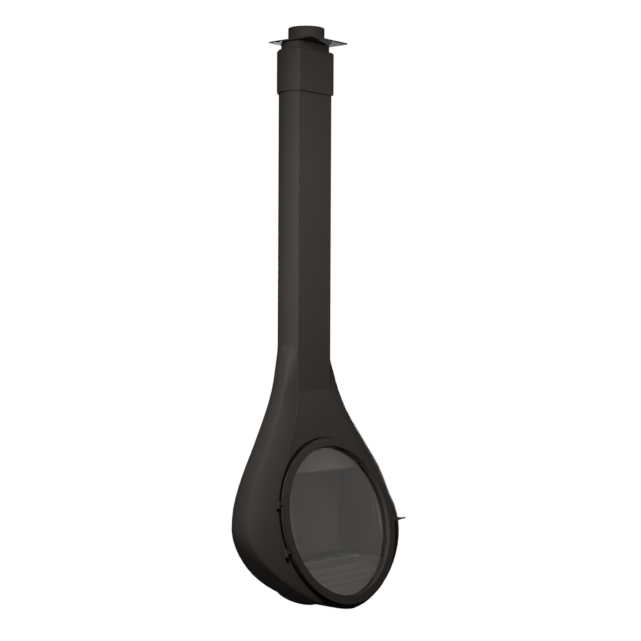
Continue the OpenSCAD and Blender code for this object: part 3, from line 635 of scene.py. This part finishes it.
# %% Rope with its own coordinates
def rope_ring(name, radius, thick, height, placed):
    section = [
        (radius + thick * cos(tau * i / 16), height + thick * sin(tau * i / 16)) for i in range(16)
    ]
    mesh = spun(name, section, 288, Matrix.Identity(4))
    strip = mesh.uv_layers.new(name="ring")
    for face in mesh.polygons:
        middle = Vector((0, 0, 0))
        for v in face.vertices:
            middle += mesh.vertices[v].co / len(face.vertices)
        turn_middle = atan2(middle.y, middle.x) / tau
        wrap_middle = atan2(middle.z - height, sqrt(middle.x**2 + middle.y**2) - radius) / tau
        for loop in face.loop_indices:
            co = mesh.vertices[mesh.loops[loop].vertex_index].co
            turn = atan2(co.y, co.x) / tau
            wrap = atan2(co.z - height, sqrt(co.x**2 + co.y**2) - radius) / tau
            turn -= round(turn - turn_middle)
            wrap -= round(wrap - wrap_middle)
            strip.data[loop].uv = (turn, wrap)
    mesh.transform(placed)
    return mesh


seal_mesh = rope_ring("rope_seal", SEAL_R, SEAL_THICK, SEAL_HEIGHT, ON_FACE)
seal = add_piece("rope_seal", seal_mesh, "door", rope)
soften(seal, 0)
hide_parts("door_seal")
print("rope seal:", len(seal_mesh.polygons), "faces,", round(tau * SEAL_R, 2), "m round")

# %% [markdown]
# ## Hinges and lever
# The hinge brackets are welded to the front plate, and the knuckles to the door. Small turned and cut
# parts like these are where a bevel matters most, because each edge shows as a glint.

# %% Small steel parts
for node in ("hinge_brackets", "door_knuckles", "latch_keeper"):
    take_over(node, stove_paint, 0.4 * MM)
take_over("hinge_pins", stove_paint, 0.3 * MM)
take_over("latch_pivot", bolt_steel, 0.3 * MM)
for node in ("latch_lever", "lever_grip"):
    take_over(node, lever_paint, 0.4 * MM)

# %% [markdown]
# ## The studio
# The photograph has a plain white ground. A white floor and walls would throw their own light on the
# object and wash out the deep tone under the pod. So floor and world are white only to the camera and
# through glass, and nearly dark to everything else. The floor lies far below, where it hides nothing
# in a view from underneath, and the small share that is left to its real surface takes the shadow.
# Paint and pane mirror only about a seventh of the white. All of it would be truer to a white room,
# but it would light up every painted edge and turn the pane pale, unlike the photograph.


# %% Floor and white surroundings
FLOOR_Z = -7.0
FLOOR_GLOW = 0.985
SEEN = 0.98
MIRRORED = 0.12
DIM = 0.02


def white_ground(name, share):
    recipe = Recipe(name)
    path = recipe.node("ShaderNodeLightPath", out="Is Camera Ray") + recipe.node(
        "ShaderNodeLightPath", out="Is Transmission Ray"
    )
    glow = recipe.node("ShaderNodeEmission", None, {"Color": (1, 1, 1, 1), "Strength": 1.0})
    seen_as = recipe.between(path, (0.04, 0.04, 0.04), (0.9, 0.9, 0.9))
    matt = recipe.shader({"Base Color": seen_as, "Roughness": 1.0, "Specular IOR Level": 0.0})
    return recipe.finish(recipe.node("ShaderNodeMixShader", None, {0: path * share, 1: matt, 2: glow}))


work = bmesh.new()
bmesh.ops.create_grid(work, x_segments=1, y_segments=1, size=14.0)
bmesh.ops.translate(work, vec=(0, 0, FLOOR_Z), verts=work.verts)
floor_mesh = bpy.data.meshes.new("studio_floor")
work.to_mesh(floor_mesh)
work.free()
floor_mesh.materials.append(white_ground("floor_white", FLOOR_GLOW))
floor = bpy.data.objects.new("studio_floor", floor_mesh)
bpy.context.scene.collection.objects.link(floor)

world = bpy.data.worlds.new("studio")
bpy.context.scene.world = world
air = Recipe("studio", world)
seen = air.node("ShaderNodeLightPath", out="Is Camera Ray") + air.node(
    "ShaderNodeLightPath", out="Is Transmission Ray"
)
mirrored = air.node("ShaderNodeLightPath", out="Is Glossy Ray")
strength = (seen * SEEN + mirrored * MIRRORED + DIM).clamp()
sky = air.node("ShaderNodeBackground", None, {"Color": (1, 1, 1, 1), "Strength": strength})
air.finish(sky, "ShaderNodeOutputWorld")

# %% [markdown]
# ## Lamps
# One soft lamp does nearly all the work. It stands beside the camera and rather high, so the column's
# round side is brightest just before it turns away and the underside of the pod falls dark. Its beam
# is narrowed so that it lights little else. A weak lamp in front lifts the flat face, one below lifts
# the underside, and two far behind light the back and the right side for anyone who walks round it.


# %% Place the lamps
def lamp(name, azimuth, height, away, size, power, aim_z, beam):
    """A square soft lamp. Azimuth 0 is in front, and positive towards the left of the door."""
    data = bpy.data.lights.new(name, "AREA")
    data.shape = "SQUARE"
    data.size = size
    data.energy = power
    data.spread = radians(beam)
    made = bpy.data.objects.new(name, data)
    bpy.context.scene.collection.objects.link(made)
    turn = radians(azimuth)
    made.location = (-away * sin(turn), -away * cos(turn), height)
    to_object = Vector((0, 0, aim_z)) - made.location
    made.rotation_euler = to_object.to_track_quat("-Z", "Y").to_euler()
    print(name, power, "W at", tuple(round(c, 2) for c in made.location))


lamp("key_lamp", 58, 0.3, 2.6, 0.7, 10.8, -1.3, 70)
lamp("front_lamp", 8, -0.3, 2.2, 0.4, 1.1, -0.4, 62)
lamp("back_lamp", 222, -0.6, 5.0, 0.4, 20.0, -1.2, 50)
lamp("side_lamp", 247, -0.6, 5.0, 0.4, 20.0, -1.2, 50)
lamp("low_lamp", 90, -2.8, 1.9, 0.6, 0.6, -1.95, 80)

# %% [markdown]
# ## Camera
# The view was worked out from the outline: a level camera with a long lens, a little over six metres
# away, to the left of the door. The lens is written for a square picture of 641 points.

# %% Camera
PICTURE = 641
FOCAL = 1500.0
SENSOR = 36.0
CAMERA_TURN = radians(49.2)
CAMERA_AWAY = 6.195
CAMERA_ASIDE = 0.0637
CAMERA_Z = -1.1465
CAMERA_ROLL = 0.0045

lens = bpy.data.cameras.new("camera")
lens.sensor_width = SENSOR
lens.lens = FOCAL / PICTURE * SENSOR
lens.clip_end = 60.0
camera = bpy.data.objects.new("camera", lens)
bpy.context.scene.collection.objects.link(camera)
look = Vector((sin(CAMERA_TURN), cos(CAMERA_TURN), 0))
side = Vector((cos(CAMERA_TURN), -sin(CAMERA_TURN), 0))
camera.location = Vector((0, AXIS_Y, CAMERA_Z)) - look * CAMERA_AWAY + side * CAMERA_ASIDE
aim = look.to_track_quat("-Z", "Y").to_matrix().to_4x4() @ Matrix.Rotation(CAMERA_ROLL, 4, "Z")
camera.rotation_euler = aim.to_euler()
bpy.context.scene.camera = camera
bpy.context.scene.view_settings.view_transform = "Standard"
print("camera at", tuple(round(c, 3) for c in camera.location))
